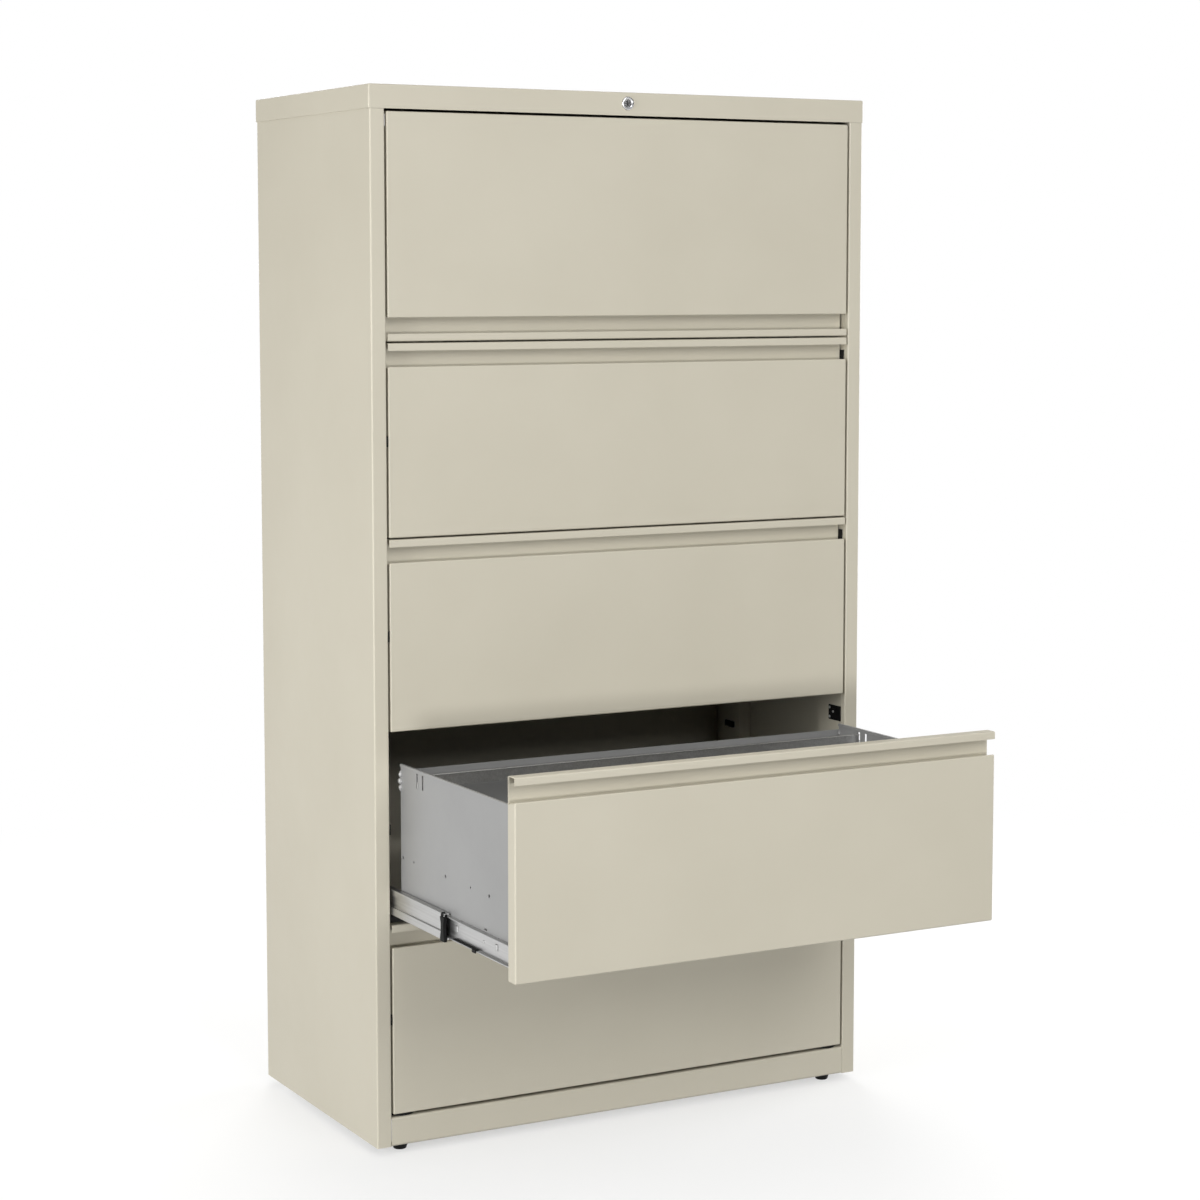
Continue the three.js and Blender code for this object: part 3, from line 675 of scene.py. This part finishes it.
def side_piece(side, sign):
    """A side panel with its front post and rear flange, folded from one sheet and notched for the cap."""
    node = f"{side}_side_panel"
    lo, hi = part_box(node)
    half = CASE_SHEET / 2
    outer = max(abs(lo.x), abs(hi.x)) - half
    inner = min(abs(lo.x), abs(hi.x)) + half
    path = [
        (outer - REAR_FLANGE, hi.y - half),
        (outer, hi.y - half),
        (outer, lo.y + half),
        (inner, lo.y + half),
        (inner, lo.y + POST_RETURN),
    ]
    section = ribbon(fillet(path, FOLD_RADIUS - half), CASE_SHEET)
    sheet = bmesh.new()
    sweep(sheet, [(sign * x, y) for x, y in section], "z", lo.z, hi.z)
    cap_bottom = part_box("top_cap")[0].z
    notch = cuboid(
        (lo.x - NOTCH_MARGIN, lo.y - NOTCH_MARGIN, cap_bottom - CAP_GAP),
        (hi.x + NOTCH_MARGIN, lo.y + POST_RETURN + NOTCH_MARGIN, hi.z + NOTCH_MARGIN),
    )
    add_piece(f"{node}_folded", carved(sheet, notch), "putty_paint", "case", node)


def back_rivets(side, sign):
    """A column of domed rivets through a rear flange into the back panel."""
    lo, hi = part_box(f"{side}_side_panel")
    x = sign * (max(abs(lo.x), abs(hi.x)) - REAR_FLANGE / 2)
    span = hi.z - lo.z - RIVET_FROM_BOTTOM - RIVET_FROM_TOP
    bm = bmesh.new()
    for index in range(RIVET_COUNT):
        z = lo.z + RIVET_FROM_BOTTOM + span * index / RIVET_COUNT
        domed_head(bm, BACK_RIVET, (x, hi.y, z), "y", 1)
    add_piece(f"{side}_back_rivets", bm, "putty_paint", "case")


def cap_piece():
    """The lid, with folded edges and a hem along the bottom of its front flange."""
    lo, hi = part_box("top_cap")
    holes = ("y", [hinge_place("lock_turn")], LOCK_HOLE)
    bm = bmesh.new()
    open_shell(bm, cuboid(lo, hi), Vector((0, 0, -1)), CAP_SHEET, holes)
    post_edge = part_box("right_side_panel")[0].x
    hem_front = lo.y + HEM_SET_BACK
    block(
        bm,
        (-post_edge, hem_front, lo.z),
        (post_edge, hem_front + CAP_SHEET, lo.z + CAP_HEM),
        HEM_EDGE,
    )
    add_piece("top_cap_folded", bm, "putty_paint", "case", "top_cap")


def plinth_piece():
    """The plinth, folded back at its top and bottom edges."""
    lo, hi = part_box("base_plinth")
    half = CASE_SHEET / 2
    fold = [
        (lo.y + PLINTH_FOOT_RETURN, lo.z + half),
        (lo.y + half, lo.z + half),
        (lo.y + half, hi.z - half),
        (lo.y + PLINTH_RETURN, hi.z - half),
    ]
    bm = bmesh.new()
    sweep(bm, ribbon(fillet(fold, PLINTH_FOLD - half), CASE_SHEET), "x", lo.x, hi.x)
    add_piece("base_plinth_folded", bm, "putty_paint", "case", "base_plinth")


# Lock

def lock_ring():
    """The chrome head and barrel of the lock, dished towards the plug."""
    lo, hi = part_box("lock_cylinder")
    centre = ((lo.x + hi.x) / 2, lo.y + LOCK_PROUD, (lo.z + hi.z) / 2)
    depth = hi.y - lo.y - LOCK_PROUD
    face = [(radius, -share * LOCK_PROUD) for radius, share in LOCK_FACE]
    barrel = [(LOCK_BARREL, 0), (LOCK_BARREL, depth), (LOCK_BORE, depth)]
    bm = bmesh.new()
    lathe(bm, [(LOCK_BORE, depth)] + face + barrel, centre, "y", LOCK_SIDES)
    add_piece("lock_ring", bm, "chrome", "case", "lock_cylinder")


def keyway_piece(name, slot, radius):
    """A curved strip in the face of the plug; the black one is painted shade for the inside of the keyway
    slot.
    """
    lo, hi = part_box("lock_plug")
    ring_lo, ring_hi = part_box("lock_cylinder")
    centre_x = (lo.x + hi.x) / 2 + KEYWAY_RADIUS / 2
    centre_z = (ring_lo.z + ring_hi.z) / 2
    path = []
    for step in range(KEYWAY_STEPS + 1):
        angle = math.pi + KEYWAY_TURN * (step / KEYWAY_STEPS - 0.5)
        path.append(Vector((centre_x + radius * math.cos(angle), centre_z + radius * math.sin(angle))))
    bm = bmesh.new()
    sweep(bm, ribbon(path, KEYWAY_WIDTH), "y", lo.y - KEYWAY_PROUD, lo.y + KEYWAY_SUNK)
    add_piece(name, bm, slot, "lock_plug")


# Levelling feet

def foot_centre(node, height):
    """A point on the axis of a foot."""
    lo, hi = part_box(node)
    return ((lo.x + hi.x) / 2, (lo.y + hi.y) / 2, height)


def foot_pad(node):
    """The moulded pad of a foot."""
    bm = bmesh.new()
    lathe(bm, PAD_OUTLINE, foot_centre(node, 0), "z")
    add_piece(f"{node}_pad", bm, "black_plastic", node, node)


def foot_stud(node):
    """The nut and the threaded stud of a foot."""
    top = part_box(node)[1].z
    nut_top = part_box("bottom_pan")[0].z - NUT_GAP
    nut = [(0, PAD_HEIGHT), (NUT_RADIUS, PAD_HEIGHT), (NUT_RADIUS, nut_top), (0, nut_top)]
    root = STUD_RADIUS - THREAD_DEPTH
    thread = [(0, PAD_HEIGHT)]
    for turn in range(int((top - PAD_HEIGHT) / THREAD_PITCH)):
        start = PAD_HEIGHT + turn * THREAD_PITCH
        thread += [(root, start), (STUD_RADIUS, start + THREAD_PITCH / 2)]
    thread += [(root, top), (0, top)]
    bm = bmesh.new()
    lathe(bm, nut, foot_centre(node, 0), "z", NUT_SIDES)
    lathe(bm, thread, foot_centre(node, 0), "z", SMALL_SIDES)
    add_piece(f"{node}_stud", bm, "zinc", node)


def foot_bush(node):
    """The bush in the floor of the case that a foot screws into."""
    bore = STUD_RADIUS + BUSH_GAP
    head_radius, head_top = BUSH_HEAD
    outline = [
        (bore, 0),
        (BUSH_NECK[0], 0),
        BUSH_NECK,
        (head_radius, BUSH_NECK[1]),
        (head_radius, head_top - BUSH_EDGE),
        (head_radius - BUSH_EDGE, head_top),
        (bore, head_top),
        (bore, 0),
    ]
    bm = bmesh.new()
    lathe(bm, outline, foot_centre(node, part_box("bottom_pan")[1].z), "z")
    add_piece(f"{node}_bush", bm, "black_plastic", "case")


# Slides and trays

def slide_stop(number, side, sign):
    """The black hourglass stop on the front end of a middle member, with a round knob on top."""
    lo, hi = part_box(f"drawer_{number}_{side}_middle_member")
    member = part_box(f"drawer_{number}_{side}_drawer_member")
    outer = max(abs(lo.x), abs(hi.x)) + STOP_PROUD
    inner = max(abs(member[0].x), abs(member[1].x)) + STOP_GAP
    ends = across(sign, inner, outer)
    front = lo.y - STOP_AHEAD
    rear = lo.y + STOP_BEHIND
    centre = (front + rear) / 2
    waist_front = centre - STOP_WAIST / 2
    waist_rear = centre + STOP_WAIST / 2
    middle = (lo.z + hi.z) / 2
    half = STOP_HEIGHT / 2
    shoulder = middle + half - 2 * STOP_KNOB
    waist_top = middle + STOP_WAIST_ABOVE * half
    waist_bottom = middle - STOP_WAIST_BELOW * half
    bottom = middle - half
    outline = [
        (front, shoulder),
        (waist_front, waist_top),
        (waist_front, waist_bottom),
        (front, bottom + STOP_FOOT),
        (front, bottom),
        (rear, bottom),
        (rear, bottom + STOP_FOOT),
        (waist_rear, waist_bottom),
        (waist_rear, waist_top),
        (rear, shoulder),
        (centre, shoulder + STOP_KNOB),
    ]
    bm = bmesh.new()
    sweep(bm, outline, "x", *ends)
    bmesh.ops.recalc_face_normals(bm, faces=bm.faces[:])
    rims = [edge for edge in bm.edges if edge.verts[0].co.x == edge.verts[1].co.x]
    round_edges(bm, rims, STOP_RIM)
    knob = [
        (0, ends[0]),
        (STOP_KNOB - STOP_KNOB_EDGE, ends[0]),
        (STOP_KNOB, ends[0] + STOP_KNOB_EDGE),
        (STOP_KNOB, ends[1] - STOP_KNOB_EDGE),
        (STOP_KNOB - STOP_KNOB_EDGE, ends[1]),
        (0, ends[1]),
    ]
    lathe(bm, knob, (0, centre, middle + half - STOP_KNOB), "x", SMALL_SIDES)
    add_piece(f"drawer_{number}_{side}_slide_stop", bm, "black_plastic", f"drawer_{number}_middle")


def slide_tabs(number, side, sign):
    """Pressed tabs and a rivet in the web of a drawer member."""
    lo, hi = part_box(f"drawer_{number}_{side}_drawer_member")
    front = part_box(f"drawer_{number}_front")[0].y
    middle = (lo.z + hi.z) / 2
    web = min(abs(lo.x), abs(hi.x)) + SLIDE_SHEET
    length, height = TAB_SIZE
    bottom = middle - height / 2 + TAB_LIFT
    top = middle + height / 2 + TAB_LIFT
    bm = bmesh.new()
    for distance in TABS_FROM_FRONT:
        along = (front + distance - length / 2, front + distance + length / 2)
        side_block(bm, sign, (web - TAB_SUNK, web + TAB_RISE), along, (bottom, top), TAB_EDGE, TAB_STEPS)
    rivet = (sign * web, front + SLIDE_RIVET_FROM_FRONT, middle + SLIDE_RIVET_LIFT)
    domed_head(bm, SLIDE_RIVET, rivet, "x", sign)
    add_piece(f"drawer_{number}_{side}_slide_tabs", bm, "zinc", f"drawer_{number}")


def slide_lever(number, side, sign):
    """The black release lever in a drawer member, with a trigger that hangs below it."""
    lo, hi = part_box(f"drawer_{number}_{side}_drawer_member")
    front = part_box(f"drawer_{number}_front")[0].y
    web = min(abs(lo.x), abs(hi.x)) + SLIDE_SHEET
    outer = max(abs(lo.x), abs(hi.x))
    lever = [front + distance for distance in LEVER_FROM_FRONT]
    trigger = (lever[0], lever[0] + TRIGGER_LENGTH)
    bottom = lo.z + SLIDE_SHEET + LEVER_GAP
    top = bottom + LEVER_HEIGHT
    bm = bmesh.new()
    out = (web + LEVER_SET_OUT, outer)
    side_block(bm, sign, out, lever, (bottom, top), LEVER_EDGE)
    out = (outer + TRIGGER_OUT[0], outer + TRIGGER_OUT[1])
    side_block(bm, sign, out, trigger, (lo.z - TRIGGER_DROP, top), TRIGGER_EDGE)
    out = (outer - TRIGGER_NECK_REACH, outer + TRIGGER_NECK_REACH)
    side_block(bm, sign, out, trigger, (bottom, bottom + TRIGGER_NECK_HEIGHT), LEVER_EDGE)
    add_piece(f"drawer_{number}_{side}_slide_lever", bm, "black_plastic", f"drawer_{number}")


def tray_catch(number, side, sign):
    """The curled catch at the rear edge of a tray side: a big lobe between two small ones."""
    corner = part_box(f"drawer_{number}_tray")[1]
    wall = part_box(f"drawer_{number}_hang_rail")[1].x
    top, bottom = [corner.z - drop for drop in CATCH_DROP]
    profile = [(0, bottom)]
    for step in range(CATCH_STEPS + 1):
        share = step / CATCH_STEPS
        lobe = abs(math.sin(CATCH_LOBES * math.pi * share)) ** CATCH_FULLNESS
        neck = CATCH_NECK_SHARE + (1 - CATCH_NECK_SHARE) * lobe
        swell = CATCH_END_SHARE + (1 - CATCH_END_SHARE) * math.sin(math.pi * share)
        profile.append((CATCH_RADIUS * neck * swell, bottom + (top - bottom) * share))
    profile.append((0, top))
    bm = bmesh.new()
    lathe(bm, profile, (sign * wall, corner.y - CATCH_SET_IN, 0), "z", SMALL_SIDES)
    add_piece(f"drawer_{number}_{side}_tray_catch", bm, "tray_steel", f"drawer_{number}")


# Interlock and guides

def upright_ranges(number, behind, below):
    """Ranges to the back and up of a piece on an upright beside a drawer."""
    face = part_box("top_cap")[0].y
    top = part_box(f"drawer_{number}_front")[1].z
    return [face + distance for distance in behind], [top - drop for drop in below]


def interlock_pieces(number):
    """The black interlock plate beside a drawer, with a boss, and its bright pin and screws."""
    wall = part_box("right_front_upright")[0].x
    along, up = upright_ranges(number, INTERLOCK_BEHIND, INTERLOCK_BELOW)
    pin_y = along[0] + PIN_FROM_FRONT
    middle = (up[0] + up[1]) / 2
    length, height = INTERLOCK_BOSS_REACH
    boss_along = (pin_y - length, pin_y + length)
    boss_up = (middle - height, middle + height)
    bm = bmesh.new()
    side_block(bm, 1, (wall - INTERLOCK_PLATE, wall), along, up, INTERLOCK_PLATE_EDGE)
    side_block(bm, 1, (wall - INTERLOCK_BOSS, wall), boss_along, boss_up, INTERLOCK_BOSS_EDGE)
    add_piece(f"drawer_{number}_interlock", bm, "black_plastic", "case")

    bm = bmesh.new()
    domed_head(bm, INTERLOCK_SCREW, (wall - INTERLOCK_BOSS, pin_y, middle + PIN_LIFT), "x", -1)
    for drop in INTERLOCK_SCREWS:
        place = (wall - INTERLOCK_PLATE, along[1] - SCREWS_FROM_REAR, up[1] - drop)
        domed_head(bm, INTERLOCK_SCREW, place, "x", -1)
    add_piece(f"drawer_{number}_interlock_pin", bm, "zinc", "case")


def rear_guide(number):
    """The black guide on the right upright behind a drawer's interlock."""
    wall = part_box("right_front_upright")[0].x
    along, up = upright_ranges(number, REAR_GUIDE_BEHIND, REAR_GUIDE_BELOW)
    bm = bmesh.new()
    side_block(bm, 1, (wall - REAR_GUIDE_DEPTH, wall), along, up, REAR_GUIDE_EDGE)
    add_piece(f"drawer_{number}_rear_guide", bm, "black_plastic", "case")


def left_guide(number):
    """The black guide at the front of the left upright beside a drawer."""
    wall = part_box("right_front_upright")[0].x
    along, up = upright_ranges(number, LEFT_GUIDE_BEHIND, LEFT_GUIDE_BELOW)
    bm = bmesh.new()
    side_block(bm, -1, (wall - LEFT_GUIDE_DEPTH, wall), along, up, LEFT_GUIDE_EDGE)
    add_piece(f"drawer_{number}_left_guide", bm, "black_plastic", "case")


# Stage

def make_camera():
    """The camera that took the photograph, as fitted to it."""
    data = bpy.data.cameras.new("camera")
    data.lens = CAMERA_LENS
    data.shift_y = CAMERA_SHIFT_Y
    camera = bpy.data.objects.new("camera", data)
    camera.location = CAMERA_PLACE
    camera.rotation_euler = (CAMERA_PITCH, 0, CAMERA_YAW)
    bpy.context.collection.objects.link(camera)
    bpy.context.scene.camera = camera


def area_light(name, place, target, size, power):
    """A square soft box that faces a point."""
    data = bpy.data.lights.new(name, "AREA")
    data.size = size
    data.energy = power
    light = bpy.data.objects.new(name, data)
    light.location = place
    light.rotation_euler = (Vector(target) - Vector(place)).to_track_quat("-Z", "Y").to_euler()
    light.visible_camera = False
    bpy.context.collection.objects.link(light)


def make_sky():
    """White behind the object, and light from above and below that fades towards the horizon."""
    world = bpy.data.worlds.new("studio")
    world.use_nodes = True
    bpy.context.scene.world = world
    bpy.context.scene.view_settings.view_transform = "Standard"
    nodes = world.node_tree.nodes
    links = world.node_tree.links
    direction = add_node(world, "ShaderNodeTexCoord").outputs["Generated"]
    height = add_node(world, "ShaderNodeSeparateXYZ", {"Vector": direction}).outputs["Z"]
    total = add_node(world, "ShaderNodeMath")
    for index, (sign, brightness) in enumerate(((1, SKY_ABOVE), (-1, SKY_BELOW))):
        start, end = [sign * share for share in SKY_FADE]
        strength = add_node(
            world,
            "ShaderNodeMapRange",
            {"Value": height},
            From_Min=start,
            From_Max=end,
            To_Max=brightness,
        )
        links.new(strength.outputs["Result"], total.inputs[index])
    light = nodes["Background"]
    light.inputs["Color"].default_value = WHITE
    links.new(total.outputs["Value"], light.inputs["Strength"])
    backdrop = add_node(world, "ShaderNodeBackground", Color=WHITE)
    sockets = {
        "Fac": add_node(world, "ShaderNodeLightPath").outputs["Is Camera Ray"],
        1: light.outputs["Background"],
        2: backdrop.outputs["Background"],
    }
    mixed = add_node(world, "ShaderNodeMixShader", sockets)
    links.new(mixed.outputs["Shader"], nodes["World Output"].inputs["Surface"])


def floor_material():
    """A pale matt floor that goes over into white with the distance from the middle."""
    made, shader = start_material("floor")
    place = stretched(made)
    tinted(made, shader, noise(made, place, scale=0.7), FLOOR_DARK, FLOOR_LIGHT)
    roughened(made, shader, noise(made, place, scale=3), FLOOR_ROUGHNESS, FLOOR_STRAY)
    distance = add_node(made, "ShaderNodeVectorMath", {0: place})
    distance.operation = "LENGTH"
    share = add_node(
        made,
        "ShaderNodeMapRange",
        {"Value": distance.outputs["Value"]},
        From_Min=FLOOR_NEAR,
        From_Max=FLOOR_FAR,
        To_Min=FLOOR_GLOW,
    )
    share.interpolation_type = "SMOOTHSTEP"
    sockets = {
        "Fac": share.outputs["Result"],
        1: shader.outputs["BSDF"],
        2: add_node(made, "ShaderNodeEmission").outputs["Emission"],
    }
    mixed = add_node(made, "ShaderNodeMixShader", sockets)
    surface = made.node_tree.nodes["Material Output"].inputs["Surface"]
    made.node_tree.links.new(mixed.outputs["Shader"], surface)
    return made


def make_floor():
    """A flat floor that takes shadows and adds no diffuse light to the cabinet."""
    bm = bmesh.new()
    bmesh.ops.create_grid(bm, x_segments=1, y_segments=1, size=FLOOR_REACH)
    floor = as_object("floor", bm)
    floor.data.materials.append(floor_material())
    floor.visible_diffuse = False


def make_stage():
    """The sky, the floor and the soft boxes."""
    make_sky()
    make_floor()
    for name, (place, target, size, power) in SOFT_BOXES.items():
        area_light(f"{name}_light", place, target, size, power)


# The cabinet

make_camera()
make_stage()
finish_cad_nodes()

for number in DRAWERS:
    front_piece(f"drawer_{number}_front", f"drawer_{number}")
front_piece("door_panel", "door", upside_down=True)

for side, sign in SIDES:
    side_piece(side, sign)
    back_rivets(side, sign)
cap_piece()
plinth_piece()
lock_ring()
# The black strip is painted shade: it stands in for the dark inside of the keyway slot
keyway_piece("lock_keyway_painted_shade", "black_plastic", KEYWAY_RADIUS)
keyway_piece("lock_key_guide", "chrome", KEYWAY_RADIUS - KEYWAY_WIDTH)
for foot in FEET:
    foot_pad(foot)
    foot_stud(foot)
    foot_bush(foot)
for number in DRAWERS:
    interlock_pieces(number)
    rear_guide(number)
    left_guide(number)
    for side, sign in SIDES:
        slide_stop(number, side, sign)
        slide_tabs(number, side, sign)
        slide_lever(number, side, sign)
        tray_catch(number, side, sign)
